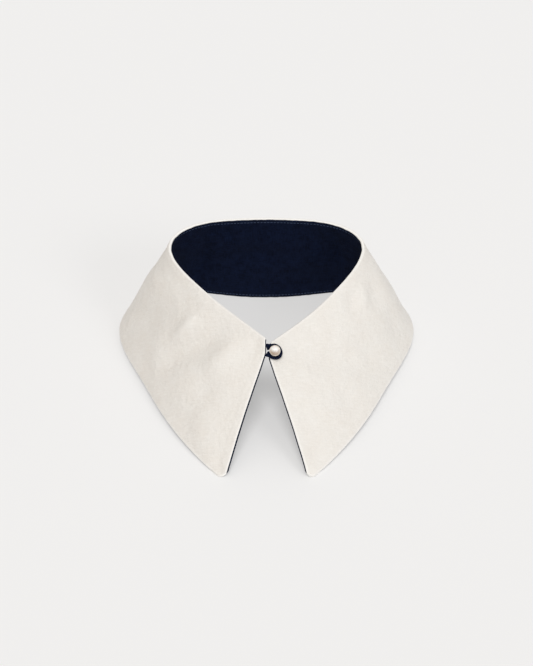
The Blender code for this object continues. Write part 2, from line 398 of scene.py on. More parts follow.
# ---------------- Cloth shells

COLUMNS = 190           # cells along half the collar, before those that round the point
TIP_CELLS = 14          # cells round the point
EDGE_ROWS = (0.0, 0.05, 0.14, 0.28, 0.44, 0.60, 0.72, 0.84, 1.0, 1.3, 1.65, 1.9, 2.1, 2.25, 2.4,
             2.6, 2.9, 3.4, 4.0, 4.7, 5.4, 6.2)     # rows of the mesh, off the neck edge and hem
MIDDLE_ROWS = 30        # cells between them
NEAR_COLUMNS = 24       # cells each way in which the nearest part of the neck edge or hem is looked for
NEAR_ROWS = 10          # and of a front edge
HEM_SHARES = (0.93, 0.96, 0.99)  # down the cloth, where the lining's slope is taken near the hem

EDGE_ROUND = 0.95       # half-round of a rolled edge
RAW_ROUND = 0.5         # half-round of an edge that lies under a roll
ROLL_DEPTH = 0.92       # a rolled edge reaches this far past the seam between the layers
ROLL_STEP = 0.14        # run over which the roll ends at the other layer
ROLL_CLEAR = 0.05       # clear space between that end and the other layer
ROLL_HEM_MOST = 1.6     # most that the roll at the hem covers
ROLL_OFF_FRONT = (0.6, 1.2)  # the outer's roll begins this far from a front edge, over this run
ROLL_OFF_NECK = (0.2, 0.8)  # and the lining's this far from the neck edge
ROLL_FLOOR = 0.05       # the roll at the hem stays this far above the table
LEAN_LEAST = 0.05       # least slope of the cloth over which that is worked out
RIM_FADE = 1.1          # distance over which the paler colour of an edge dies away
ALLOWANCE = 5.0         # width of the seam allowance that shows through the outer
ALLOWANCE_LIFT = 0.20
ALLOWANCE_STEP = 2.6
ALLOWANCE_RISE = 0.9    # run over which it rises at the edge
ALLOWANCE_WANDER = ((0.35, 17.0, 1.0), (0.25, 41.0, 0.0))   # waves of its step: size, rate and phase
LINING_LIFT = 0.10      # and through the lining
STITCH_IN = 2.25        # understitching, from the edge of the lining
STITCH_SINK = 0.24      # depth of the groove that it pulls in
STITCH_GROOVE = 0.40


def lining_hem(t):
    """How far short of the outer's hem the lining stops, so that it stays above the table."""
    above, middle, below = (np.full_like(t, share) for share in HEM_SHARES)
    slope = -unit(surface(t, below) - surface(t, above))[..., 2]
    lean = normal(t, middle)[..., 2]
    low = ruling(t)[1][..., 2]
    needed = ((LAYER_OFFSET + LAYER / 2) * lean + TABLE_CLEAR - low) / slope
    return np.maximum(HEM_ROLL, needed)


def half_ends(neck_margin, hem_margin, front_margin):
    """Top and bottom of each column over the right half, cut back from each edge by a margin.

    The hem and the front edge meet in a circular arc: a conic with equal tangents and the sine of
    half its corner as its weight.
    """
    neck_end, corner = ruling(1.0)
    t_front = 1.0 - front_margin / front_run(1)
    hem_way = unit(ruling(1.0 - FRONT_STEP)[1] - corner)
    half_corner = math.acos(float(hem_way @ unit(neck_end - corner))) / 2
    tangent = TIP_RADIUS / math.tan(half_corner)
    weight = math.sin(half_corner)
    t_arc = t_front - tangent / front_run(1)
    full = float(depth(1.0))
    w_corner = 1.0 - float(hem_margin(np.array([1.0]))[0]) / full
    w_arc = w_corner - tangent / full
    straight = np.linspace(0.0, t_arc, COLUMNS + 1)
    s = np.arange(1, TIP_CELLS + 1) / TIP_CELLS
    a, b, c = (1 - s) ** 2, 2 * weight * s * (1 - s), s * s
    t = np.concatenate((straight, (a * t_arc + (b + c) * t_front) / (a + b + c)))
    bottom = np.concatenate((1.0 - hem_margin(straight) / depth(straight),
                             ((a + b) * w_corner + c * w_arc) / (a + b + c)))
    return t, neck_margin / depth(t), bottom


def grid(neck_margin, hem_margin, left_margin, right_margin):
    """Arrays of t and w, columns first, over the whole of a layer."""
    left = half_ends(neck_margin, hem_margin, left_margin)
    right = half_ends(neck_margin, hem_margin, right_margin)
    t, top, bottom = (np.concatenate((sign * a[:0:-1], b)) for sign, a, b in zip((-1, 1, 1), left, right))
    edge = np.array(EDGE_ROWS)
    long = (bottom - top) * depth(t)
    middle = np.linspace(0.0, 1.0, MIDDLE_ROWS + 1)[1:-1]
    rows = [np.full_like(long, row) for row in edge]
    rows += [edge[-1] + (long - 2 * edge[-1]) * m for m in middle]
    rows += [long - row for row in edge[::-1]]
    down = np.stack(rows, axis=1)
    w = top[:, None] + down / depth(t)[:, None]
    return np.repeat(t[:, None], w.shape[1], axis=1), w


def off_path(points, path, window):
    """Distance of each point of a grid from a path that its first axis follows."""
    count = len(path)
    best = np.full(points.shape[:2], np.inf)
    here = np.arange(count)
    for shift in range(-window, window):
        i = np.clip(here + shift, 0, count - 2)
        start, way = path[i][:, None], (path[i + 1] - path[i])[:, None]
        best = np.minimum(best, off_stretches(points - start, way)[0])
    return best


def off_edges(points):
    """Distances from the neck edge, the hem, the nearer front edge and the nearest edge of all."""
    turned = points.transpose(1, 0, 2)
    neck = off_path(points, points[:, 0], NEAR_COLUMNS)
    hem = off_path(points, points[:, -1], NEAR_COLUMNS)
    front = np.minimum(*(off_path(turned, points[end], NEAR_ROWS).T for end in (0, -1)))
    return neck, hem, front, np.minimum(np.minimum(neck, hem), front)


def half_round(off, radius):
    """Share of its full thickness that an edge has, rounded off over a radius."""
    return np.sqrt(1 - (1 - np.clip(off / radius, 0.0, 1.0)) ** 2)


def rounded_edge(low, high, off, rolled):
    """Middle of a layer and half its thickness, rounded off towards its edges."""
    share = half_round(off, RAW_ROUND + (EDGE_ROUND - RAW_ROUND) * rolled)
    return (high + low) / 2, (high - low) / 2 * share


def lay_flat(mesh, places):
    """The mesh's flat_cut map, from each vertex's place on the cut in millimetres."""
    layer = mesh.uv_layers.new(name="flat_cut")
    corners = np.empty(len(mesh.loops), int)
    mesh.loops.foreach_get("vertex_index", corners)
    layer.data.foreach_set("uv", (places * MM)[corners].ravel())


def shell(name, t, w, outside, inside, material, off):
    """A closed sheet between two offsets from the seam surface, meeting round its boundary."""
    columns, rows = t.shape
    points = surface(t, w)
    out = normal(t, w)
    lift = relief(t, w)
    sides = [points + out * (lift + offset)[..., None] for offset in (outside, inside)]
    index = np.arange(columns * rows).reshape(columns, rows)
    inner = np.zeros((columns, rows), bool)
    inner[1:-1, 1:-1] = True
    back = index.copy()
    back[inner] = columns * rows + np.arange(inner.sum())
    vertices = np.concatenate((sides[0].reshape(-1, 3), sides[1][inner]))
    vertices[:, 2] = np.maximum(vertices[:, 2], 0.0)

    def quads(a, forward):
        corners = (a[:-1, :-1], a[:-1, 1:], a[1:, 1:], a[1:, :-1])
        return np.stack(corners if forward else corners[::-1], axis=-1).reshape(-1, 4)

    faces = np.concatenate((quads(index, True), quads(back, False)))
    mesh = bpy.data.meshes.new(name)
    mesh.from_pydata((vertices * MM).tolist(), [], faces.tolist())
    cut = flat(t, w)
    lay_flat(mesh, np.concatenate((cut.reshape(-1, 2), cut[inner])))
    # Nearness to an edge, by which the cloth colours are paled; on the cream this is partly wear, partly
    # a painted highlight on the rolled edges
    rim = np.exp(-off / RIM_FADE)
    paled_edge = mesh.attributes.new("rim", "FLOAT", "POINT")
    paled_edge.data.foreach_set("value", np.concatenate((rim.ravel(), rim[inner])))
    mesh.shade_smooth()
    mesh.materials.append(material)
    return place(name, mesh)


def place(name, data):
    """A new object in the scene."""
    piece = bpy.data.objects.new(name, data)
    bpy.context.scene.collection.objects.link(piece)
    return piece


def allowance(off, t, size):
    """Ridge of the seam allowance along an edge, with a soft and slightly wandering step."""
    wander = sum(wave * np.sin(rate * t + phase) for wave, rate, phase in ALLOWANCE_WANDER)
    return size * ramp(off / ALLOWANCE_RISE) * (1 - ramp((off - ALLOWANCE - wander) / ALLOWANCE_STEP))


def outer_cloth(material):
    """The cream outer, rolled over the edge of the lining at the neck and the hem."""
    t, w = grid(0.0, np.zeros_like, 0.0, 0.0)
    points = surface(t, w)
    neck, hem, front, off = off_edges(points)
    roll_hem = np.minimum(lining_hem(t[:, 0])[:, None] - ROLL_CLEAR, ROLL_HEM_MOST)
    rolled = np.maximum(ramp((NECK_ROLL - ROLL_CLEAR - neck) / ROLL_STEP),
                        ramp((roll_hem - hem) / ROLL_STEP))
    rolled *= ramp((front - ROLL_OFF_FRONT[0]) / ROLL_OFF_FRONT[1])
    lean = np.maximum(normal(t, w)[..., 2], LEAN_LEAST)
    room = np.clip((points[..., 2] - ROLL_FLOOR) / lean, 0.0, ROLL_DEPTH)
    low = (LAYER_OFFSET - LAYER / 2) * (1 - rolled) - room * rolled
    middle, half = rounded_edge(low, LAYER_OFFSET + LAYER / 2, off, rolled)
    ridge = allowance(off, t, ALLOWANCE_LIFT)
    piece = shell("outer_cloth", t, w, middle + half + ridge, middle - half, material, off)
    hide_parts("outer_collar")
    return piece


def lining_cloth(material):
    """The navy lining, rolled past the outer at the front edges and grooved by its stitches."""
    t, w = grid(NECK_ROLL, lining_hem, -FRONT_PROUD["left"], -FRONT_PROUD["right"])
    neck, hem, front, off = off_edges(surface(t, w))
    proud = np.where(t > 0, FRONT_PROUD["right"], FRONT_PROUD["left"])
    rolled = ramp((proud - ROLL_CLEAR - front) / ROLL_STEP)
    rolled *= ramp((neck - ROLL_OFF_NECK[0]) / ROLL_OFF_NECK[1])
    high = (LAYER / 2 - LAYER_OFFSET) * (1 - rolled) + ROLL_DEPTH * rolled
    middle, half = rounded_edge(-LAYER_OFFSET - LAYER / 2, high, off, rolled)
    sewn = np.minimum(neck, hem) - STITCH_IN
    groove = STITCH_SINK * np.exp(-(sewn / STITCH_GROOVE) ** 2)
    ridge = allowance(off, t, LINING_LIFT)
    piece = shell("lining_cloth", t, w, middle + half, middle - half + groove - ridge, material, off)
    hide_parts("lining")
    return piece


# ---------------- Small mesh tools

def tube(path, across, width, height, sides, squash=1.0):
    """Rings of a closed tube along a path. across gives the direction of each ring's width."""
    way = unit(np.gradient(path, axis=0))
    up = unit(np.cross(across, way))
    across = np.cross(way, up)
    angles = np.arange(sides) * 2 * math.pi / sides
    return (path[:, None] + across[:, None] * (np.cos(angles) * squash * width[:, None])[..., None]
            + up[:, None] * (np.sin(angles) * squash * height[:, None])[..., None])


def skin(rings):
    """Vertices and faces over rings of points, with a fan at each end."""
    count, sides = rings.shape[:2]
    vertices = rings.reshape(-1, 3)
    index = np.arange(count * sides).reshape(count, sides)
    after = np.roll(index, -1, axis=1)
    faces = np.stack((index[:-1], after[:-1], after[1:], index[1:]), axis=-1).reshape(-1, 4).tolist()
    vertices = np.concatenate((vertices, [rings[0].mean(axis=0), rings[-1].mean(axis=0)]))
    first, last = count * sides, count * sides + 1
    faces += [[first, b, a] for a, b in zip(index[0], after[0])]
    faces += [[last, a, b] for a, b in zip(index[-1], after[-1])]
    return vertices, faces


def mesh_piece(name, vertices, faces, material):
    """A smooth object from vertices in millimetres."""
    mesh = bpy.data.meshes.new(name)
    mesh.from_pydata((np.asarray(vertices) * MM).tolist(), [], faces)
    mesh.shade_smooth()
    mesh.materials.append(material)
    return place(name, mesh)


# ---------------- Understitching

STITCH_PITCH = 2.3
STITCH_LENGTH = 1.75
STITCH_RADIUS = 0.23
STITCH_SIDES = 8
STITCH_RINGS = ((-0.5, 0.15), (-0.47, 0.6), (-0.38, 0.95), (-0.15, 1.0), (0.15, 1.0), (0.38, 0.95),
                (0.47, 0.6), (0.5, 0.15))     # place along a stitch and share of its radius there
STITCH_FRONT = 3.0      # no stitches this close to the front edges
STITCH_SIT = 0.35       # share of the groove's depth at which the middle of the thread lies
STITCH_SAG = 0.10       # how far the middle of a stitch is pulled in
STITCH_TILT = 0.06      # most that a stitch turns out of its line, as a slope
STITCH_UNEVEN = (0.92, 1.05)  # least and most of the length of a stitch
STITCH_SEED = 5
LINE_CELLS = 1200       # cells over which the line of stitches is measured


def stitch_line(down_at):
    """Middles and directions of the stitches on a line down_at(t) millimetres below the neck."""
    margin = STITCH_FRONT / front_run(0)
    t = np.linspace(-1 + margin, 1 - margin, LINE_CELLS + 1)
    w = down_at(t) / depth(t)
    inside = -(LAYER_OFFSET + LAYER / 2) + STITCH_SINK * STITCH_SIT
    out = normal(t, w)
    line = surface(t, w) + out * (relief(t, w) + inside)[:, None]
    run = path_run(line)
    count = int(run[-1] / STITCH_PITCH)
    at = (np.arange(count) + 0.5) * run[-1] / count

    def pick(values):
        return np.stack([np.interp(at, run, values[:, k]) for k in range(3)], axis=1)

    return pick(line), unit(pick(np.gradient(line, axis=0))), unit(pick(out))


def understitching(material):
    """Two lines of stitches on the lining, below the neck edge and above the hem, in one mesh."""
    lines = (stitch_line(lambda t: NECK_ROLL + STITCH_IN + 0 * t),
             stitch_line(lambda t: depth(t) - lining_hem(t) - STITCH_IN))
    places, shares = np.array(STITCH_RINGS).T
    radius = shares * STITCH_RADIUS
    sag = (1 - (2 * places) ** 2) * STITCH_SAG
    vertices, faces, count = [], [], 0
    random = np.random.default_rng(STITCH_SEED)
    for middles, ways, outs in lines:
        for middle, way, out in zip(middles, ways, outs):
            tilted = unit(way + np.cross(way, out) * random.uniform(-STITCH_TILT, STITCH_TILT))
            long = STITCH_LENGTH * random.uniform(*STITCH_UNEVEN)
            path = middle + tilted * (places * long)[:, None] - out * sag[:, None]
            across = np.cross(tilted, out)[None].repeat(len(path), 0)
            ring_vertices, ring_faces = skin(tube(path, across, radius, radius, STITCH_SIDES))
            vertices.append(ring_vertices)
            faces += [[i + count for i in face] for face in ring_faces]
            count += len(ring_vertices)
    return mesh_piece("understitching", np.concatenate(vertices), faces, material)


# ---------------- Button and its loop

BEAD_LEAN = (-0.28, 0.20)  # the loop pulls the shank over: slope across, slope down the front
BUTTON_DOWN = 7.8         # from the neck edge to the button, down the front edge
BUTTON_IN = 2.8           # from the front edge to the button
LOOP_RADIUS = 4.5         # from the button to the middle of the rouleau
LOOP_RISE = 1.5           # middle of the rouleau above the outer
LOOP_OPENING = math.radians(62)  # from the line to the left front to where the round starts
LEG_DOWN = (5.1, 8.9)     # from the neck edge to each end of the rouleau
LEG_CLEAR = 0.75          # from the left front edge of the outer to the rouleau's ends
ROULEAU = 1.3             # radius of the rouleau
LEG_SPREAD = 2.4          # half width of each flattened leg where it enters the seam
LEG_FLAT = 0.80           # and its half thickness
LEG_RUN = 4.4             # length over which it flattens
LOOP_CELLS = 12           # stretches of the loop's round part
CURVE_CELLS = 12          # cells of the curve through each stretch
ROULEAU_SIDES = 28
ROULEAU_HEIGHT = 0.95     # its height for each millimetre of its width
ROULEAU_SWELL = 0.04      # share by which its width comes and goes
SWELL_RATE = 2.1          # radians a millimetre
PINCH = 0.07              # puckers round the inside of the bend, as a share of the radius
PINCH_RATE, PINCH_DRIFT = 5.2, 0.6  # radians a millimetre, and radians
SEAM_ANGLE = 0.75 * math.pi  # round the rouleau, where its own seam lies
SEAM_WIDTH = 0.2          # radians
SEAM_SINK = 0.09          # share of the radius


def button_frame():
    """Base of the button on the outer, with the directions across, down the front edge and out."""
    t = 1.0 - BUTTON_IN / front_run(0)
    w = BUTTON_DOWN / float(depth(t))
    out = normal(t, w)
    base = surface(t, w) + out * (CAD_SEAM + LAYER)
    down = surface(t, w + BUTTON_STEP) - surface(t, w - BUTTON_STEP)
    across = unit(np.cross(out, down))
    return base, across, np.cross(across, out), out


def smooth_path(points, cells):
    """A Catmull-Rom curve through the points, with cells stretches between neighbours."""
    ends = [2 * points[0] - points[1], *points, 2 * points[-1] - points[-2]]
    path = []
    for a, b, c, d in zip(ends, ends[1:], ends[2:], ends[3:]):
        for s in np.arange(cells) / cells:
            path.append(0.5 * (2 * b + (c - a) * s + (2 * a - 5 * b + 4 * c - d) * s ** 2
                               + (3 * b - a - 3 * c + d) * s ** 3))
    return np.array(path + [points[-1]])


def rouleau_loop(material):
    """The bias tube that comes out of the left front seam, passes round the button and goes back."""
    base, across, down, out = button_frame()
    centre = base + out * LOOP_RISE
    left_edge = -1.0 - LEG_CLEAR / front_run(0)
    legs = [surface(left_edge, leg / depth(-1.0)) for leg in LEG_DOWN]
    turn = np.linspace(LOOP_OPENING, 2 * math.pi - LOOP_OPENING, LOOP_CELLS + 1)
    round_part = [centre - (across * math.cos(a) + down * math.sin(a)) * LOOP_RADIUS for a in turn]
    path = smooth_path([legs[0], *round_part, legs[1]], CURVE_CELLS)
    run = path_run(path)
    off_end = np.minimum(run, run[-1] - run)
    spread = 1 - ramp(off_end / LEG_RUN)
    tall = ROULEAU * ROULEAU_HEIGHT
    width = ROULEAU * (1 + ROULEAU_SWELL * np.sin(run * SWELL_RATE)) + (LEG_SPREAD - ROULEAU) * spread
    height = tall + (LEG_FLAT - tall) * spread
    way = unit(np.gradient(path, axis=0))
    sideways = unit(np.cross(way, out))
    angles = np.arange(ROULEAU_SIDES) * 2 * math.pi / ROULEAU_SIDES
    half_way = len(path) // 2
    inward = np.sign(sideways[half_way] @ (centre - path[half_way])) * np.cos(angles)
    pinch = np.maximum(inward, 0.0)[None] ** 2 * (1 - spread)[:, None]
    pucker = 1 - PINCH * pinch * (1 + np.sin(run * PINCH_RATE + PINCH_DRIFT * np.sin(run)))[:, None]
    seam = np.exp(-(((angles - SEAM_ANGLE) / SEAM_WIDTH) ** 2))
    pucker = pucker * (1 - SEAM_SINK * seam[None])
    vertices, faces = skin(tube(path, sideways, width, height, ROULEAU_SIDES, pucker))
    piece = mesh_piece("rouleau_loop", vertices, faces, material)
    places = np.stack((np.repeat(run, ROULEAU_SIDES), np.tile(angles * ROULEAU, len(path))), axis=1)
    lay_flat(piece.data, np.concatenate((places, [[0.0, 0.0], [run[-1], 0.0]])))
    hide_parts("button_loop")
    return piece


def packed_box(node):
    """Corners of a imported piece, in millimetres."""
    return (np.array(corner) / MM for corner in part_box(node))


def bead_axis():
    """The shank's direction, from the outer to the bead."""
    _, across, down, out = button_frame()
    return unit(out + across * BEAD_LEAN[0] + down * BEAD_LEAN[1])


def turned(base, axis, heights, radii, sides):
    """Rings of a turned shape, at heights along an axis from its base."""
    across = button_frame()[1]
    side = unit(across - axis * (across @ axis))
    angles = np.arange(sides) * 2 * math.pi / sides
    ring = side * np.cos(angles)[:, None] + np.cross(axis, side) * np.sin(angles)[:, None]
    return base + axis * heights[:, None, None] + ring[None] * radii[:, None, None]


PEARL_RINGS = 56
PEARL_SIDES = 72
PEARL_FOOT = 0.14       # share of its radius, at the foot, over which it is flattened
PEARL_FLAT = 0.05       # and by how much of its radius


def pearl(material):
    """The bead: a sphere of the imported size, a little flattened round its drilled foot."""
    low, high = packed_box("bead")
    centre, radius = (low + high) / 2, float((high - low).mean()) / 2
    axis = bead_axis()
    rise = np.linspace(-math.pi / 2, math.pi / 2, PEARL_RINGS + 1)
    h, r = np.sin(rise) * radius, np.cos(rise) * radius
    foot = ramp((-h / radius - (1 - PEARL_FOOT)) / PEARL_FOOT)
    h += foot * radius * PEARL_FLAT
    vertices, faces = skin(turned(centre, axis, h[1:-1], r[1:-1], PEARL_SIDES))
    vertices[-2:] = centre + axis * h[[0, -1], None]
    piece = mesh_piece("pearl", vertices, faces, material)
    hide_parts("bead")
    return piece


SHANK_SIDES = 32
SHANK_CELLS = 6         # cells of the curve between neighbours of the profile
SHANK_RADIUS = 1.0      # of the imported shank
SHANK_LEAST = 0.01      # least radius of a ring
SHANK_PROFILE = (
    # height along the shank as a share of it, radius in millimetres
    (0.00, 0.30), (0.00, 0.98), (0.14, 1.00), (0.26, 0.62), (0.55, 0.55), (0.80, 0.62),
    (0.92, 0.98), (1.00, 0.98), (1.00, 0.30),
)


def shank_post(material):
    """The metal post between the outer and the bead, with a foot and a collar."""
    low, high = packed_box("shank")
    axis = bead_axis()
    tall = float(high[2] - low[2] - 2 * SHANK_RADIUS * math.sqrt(1 - axis[2] ** 2)) / float(axis[2])
    base = (low + high) / 2 - axis * tall / 2
    profile = smooth_path([np.array([h * tall, r]) for h, r in SHANK_PROFILE], SHANK_CELLS)
    radii = np.maximum(profile[:, 1], SHANK_LEAST)
    vertices, faces = skin(turned(base, axis, profile[:, 0], radii, SHANK_SIDES))
    piece = mesh_piece("shank_post", vertices, faces, material)
    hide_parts("shank")
    return piece


# ---------------- Materials

class Nodes:
    """Short calls for the nodes of one material, or of the world."""

    def __init__(self, owner, shader="Principled BSDF"):
        owner.use_nodes = True
        self.owner = owner
        self.tree = owner.node_tree
        self.shader = self.tree.nodes[shader]

    def add(self, kind, **values):
        """A node of a kind, with its properties and its inputs by name."""
        node = self.tree.nodes.new("ShaderNode" + kind)
        for name, value in values.items():
            if hasattr(node, name):
                setattr(node, name, value)
            else:
                self.put(node.inputs[name.replace("_", " ").title()], value)
        return node

    def put(self, socket, value):
        """Link an input to another node, or give it a value. Colours are opaque."""
        if isinstance(value, bpy.types.NodeSocket):
            self.tree.links.new(value, socket)
        elif socket.type == "RGBA":
            socket.default_value = (*value, 1.0)
        else:
            socket.default_value = value

    def math(self, operation, a, b=0.0):
        node = self.add("Math", operation=operation)
        for socket, value in zip(node.inputs, (a, b)):
            self.put(socket, value)
        return node.outputs[0]

    def mix(self, share, a, b):
        """Two colours mixed by a share of the second."""
        node = self.add("Mix", data_type="RGBA")
        for name, value in (("Factor", share), ("A", a), ("B", b)):
            self.put(next(s for s in node.inputs if s.name == name and s.enabled), value)
        return next(s for s in node.outputs if s.enabled)

    def band(self, value, low, high, to_low=0.0, to_high=1.0):
        """Value taken from one range to another, held at its ends."""
        node = self.add("MapRange")
        for socket, number in zip(node.inputs, (value, low, high, to_low, to_high)):
            self.put(socket, number)
        return node.outputs[0]

    def cloth_place(self, turn=0.0, stretch=(1.0, 1.0)):
        """Place on the flat cut in millimetres, turned and stretched."""
        uv = self.add("UVMap", uv_map="flat_cut").outputs[0]
        turned_uv = self.add("Mapping", vector_type="TEXTURE", vector=uv, rotation=(0.0, 0.0, turn))
        scale = (stretch[0] / MM, stretch[1] / MM, 1.0)
        sized = self.add("Mapping", vector_type="POINT", vector=turned_uv.outputs[0], scale=scale)
        return sized.outputs[0]

    def noise(self, vector, scale, detail, roughness):
        node = self.add("TexNoise", vector=vector, scale=scale, detail=detail, roughness=roughness)
        return node.outputs["Fac"]

    def bump(self, height, distance, strength, before=None):
        """Bump over a distance in millimetres, on top of the one before it."""
        node = self.add("Bump", strength=strength, distance=distance * MM)
        self.put(node.inputs["Height"], height)
        if before is not None:
            self.put(node.inputs["Normal"], before)
        return node.outputs[0]

    def rim(self):
        """How near each place is to an edge of the cloth."""
        return self.add("Attribute", attribute_name="rim").outputs["Fac"]

    def set(self, **values):
        """Inputs of the shader, by name."""
        for name, value in values.items():
            self.put(self.shader.inputs[name.replace("_", " ")], value)


SATEEN_THREAD = 0.21    # width of a warp thread on the sateen's face, in millimetres
SATEEN_FLOAT = 0.95     # length of its float over the weft
SATEEN_GAP = 0.035      # between one float and the next
CREAM_WARM = (0.830, 0.785, 0.727)
CREAM_PALE = (0.850, 0.817, 0.768)
CREAM_CLOUD = (0.815, 0.775, 0.722)
CREAM_SLUB = (0.890, 0.862, 0.820)
CREAM_GAP = (0.60, 0.56, 0.51)
# paler edges: partly wear, partly a painted highlight on the rolled edges
CREAM_EDGE_WEAR_AND_HIGHLIGHT = (0.965, 0.945, 0.910)
CREAM_SHEEN = (1.0, 0.97, 0.93)


def sateen():
    """Cream cotton sateen: long warp floats, a soft sheen, slubs and faint mottling, with edges paled
    partly by wear and partly as a painted highlight.
    """
    n = Nodes(bpy.data.materials.new("cream_sateen"))
    floats = n.add("TexBrick", offset=0.4, offset_frequency=2, vector=n.cloth_place(turn=math.pi / 2),
                   scale=1.0, mortar_size=SATEEN_GAP, mortar_smooth=1.0, brick_width=SATEEN_FLOAT,
                   row_height=SATEEN_THREAD).outputs["Fac"]
    slub = n.noise(n.cloth_place(stretch=(1.0, 0.16)), 0.9, 4.0, 0.62)
    fine = n.noise(n.cloth_place(stretch=(1.0, 0.35)), 2.6, 2.0, 0.55)
    mottle = n.noise(n.cloth_place(), 0.075, 3.0, 0.55)
    cloud = n.noise(n.cloth_place(), 0.26, 3.0, 0.6)
    warm = n.mix(n.band(mottle, 0.35, 0.65), CREAM_WARM, CREAM_PALE)
    cloudy = n.mix(n.band(cloud, 0.3, 0.7, 0.0, 0.5), warm, CREAM_CLOUD)
    slubby = n.mix(n.band(slub, 0.42, 0.72, 0.0, 0.55), cloudy, CREAM_SLUB)
    threads = n.mix(n.band(floats, 0.0, 1.0, 0.0, 0.16), slubby, CREAM_GAP)
    # Paler towards the edges: partly wear, partly a painted highlight on the rolled edges
    paled_edge = n.mix(n.band(n.rim(), 0.15, 0.9, 0.0, 0.85), threads, CREAM_EDGE_WEAR_AND_HIGHLIGHT)
    height = n.bump(n.math("SUBTRACT", 1.0, floats), 0.03, 0.55)
    for waves, distance, strength in ((slub, 0.35, 0.45), (fine, 0.16, 0.40), (cloud, 1.8, 0.40)):
        height = n.bump(waves, distance, strength, height)
    n.set(Base_Color=paled_edge, Roughness=n.band(slub, 0.3, 0.7, 0.50, 0.60), Normal=height,
          Sheen_Weight=0.12, Sheen_Roughness=0.45, Sheen_Tint=CREAM_SHEEN, Specular_IOR_Level=0.35)
    return n.owner


NAVY_PITCH = 0.42       # of the plain weave, in millimetres
NAVY_DARK = (0.0026, 0.0042, 0.0135)
NAVY_LIGHT = (0.0066, 0.0112, 0.033)
NAVY_THREAD = (0.0100, 0.0190, 0.056)
NAVY_GAP = (0.002, 0.003, 0.008)
NAVY_EDGE = (0.020, 0.028, 0.058)
NAVY_SHEEN = (0.55, 0.65, 1.0)


def navy():
    """Navy cotton in a plain weave, matt, with threads that took the dye unevenly."""
    n = Nodes(bpy.data.materials.new("navy_cotton"))
    place_mm = n.cloth_place()
    split = n.add("SeparateXYZ", vector=place_mm)
    warp, weft = (n.math("SINE", n.math("MULTIPLY", split.outputs[axis], 2 * math.pi / NAVY_PITCH))
                  for axis in (0, 1))
    weave = n.math("MULTIPLY", warp, weft)
    across = n.noise(n.cloth_place(stretch=(0.18, 1.0)), 1.1, 3.0, 0.6)
    down = n.noise(n.cloth_place(stretch=(1.0, 0.18)), 1.1, 3.0, 0.6)
    mottle = n.noise(place_mm, 0.16, 4.0, 0.6)
    threads = n.math("ADD", n.math("MULTIPLY", across, 0.5), n.math("MULTIPLY", down, 0.5))
    base = n.mix(n.band(mottle, 0.3, 0.7), NAVY_DARK, NAVY_LIGHT)
    dyed = n.mix(n.band(threads, 0.42, 0.68, 0.0, 0.65), base, NAVY_THREAD)
    woven = n.mix(n.band(weave, -1.0, 1.0, 0.35, 0.0), dyed, NAVY_GAP)
    paled_edge = n.mix(n.band(n.rim(), 0.2, 1.0, 0.0, 0.30), woven, NAVY_EDGE)
    height = n.bump(threads, 0.3, 0.35, n.bump(weave, 0.06, 0.5))
    n.set(Base_Color=paled_edge, Roughness=0.80, Normal=height, Sheen_Weight=0.01, Sheen_Roughness=0.5,
          Sheen_Tint=NAVY_SHEEN, Specular_IOR_Level=0.04)
    return n.owner


THREAD_DARK = (0.016, 0.027, 0.062)
THREAD_PALE = (0.050, 0.080, 0.160)


def thread():
    """Navy sewing thread, with the twist of its plies."""
    n = Nodes(bpy.data.materials.new("navy_thread"))
    place_m = n.add("TexCoord").outputs["Object"]
    twist = n.add("TexWave", wave_type="BANDS", bands_direction="DIAGONAL", vector=place_m,
                  scale=900.0, distortion=0.6).outputs["Fac"]
    n.set(Base_Color=n.mix(twist, THREAD_DARK, THREAD_PALE), Roughness=0.6,
          Normal=n.bump(twist, 0.05, 0.6), Specular_IOR_Level=0.3, Sheen_Weight=0.05)
    return n.owner


# Painted light on the pearl: a dark reflection low down, a highlight at the top and a reflection round
# the rim
PEARL_LOW_DARK_REFLECTION = (0.44, 0.31, 0.21)
PEARL_TOP_HIGHLIGHT = (0.94, 0.91, 0.88)
PEARL_RIM_REFLECTION = (0.82, 0.71, 0.58)
PEARL_SWIRL = (0.95, 0.90, 0.86)
PEARL_HIGHLIGHT_RISE = (0.64, 0.88)  # shares of its height between which the painted dark reflection turns into the painted highlight
PEARL_DEEP = (0.0012, 0.0009, 0.0007)  # how far light goes in, in metres


def nacre():
    """Pearl under a glossy, faintly uneven coat, with a painted dark reflection low down, a painted
    highlight at its top and a painted reflection round its rim.
    """
    n = Nodes(bpy.data.materials.new("pearl"))
    place_m = n.add("TexCoord").outputs["Object"]
    swirl = n.noise(place_m, 420.0, 3.0, 0.5)
    low, high = (corner[2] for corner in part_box("bead"))
    highlight_heights = [low + (high - low) * share for share in PEARL_HIGHLIGHT_RISE]
    rise = n.band(n.add("SeparateXYZ", vector=place_m).outputs[2], *highlight_heights)
    facing = n.add("LayerWeight", blend=0.40).outputs["Facing"]
    # Painted reflection and highlight: dark low down, pale at the top, and paler where the surface turns
    # away from the camera
    reflection_rimmed = n.mix(n.band(facing, 0.24, 0.60), n.mix(rise, PEARL_LOW_DARK_REFLECTION, PEARL_TOP_HIGHLIGHT), PEARL_RIM_REFLECTION)
    swirled = n.mix(n.band(swirl, 0.35, 0.7, 0.0, 0.18), reflection_rimmed, PEARL_SWIRL)
    n.set(Base_Color=swirled, Roughness=0.20, Normal=n.bump(swirl, 0.08, 0.12),
          Specular_IOR_Level=0.6, Coat_Weight=0.8, Coat_Roughness=0.08, Coat_IOR=1.6,
          Sheen_Weight=0.2, Sheen_Roughness=0.3, Subsurface_Weight=0.15,
          Subsurface_Radius=PEARL_DEEP, Subsurface_Scale=1.0)
    return n.owner


BRASS = (0.66, 0.50, 0.26)
BRASS_TARNISH = (0.42, 0.30, 0.15)


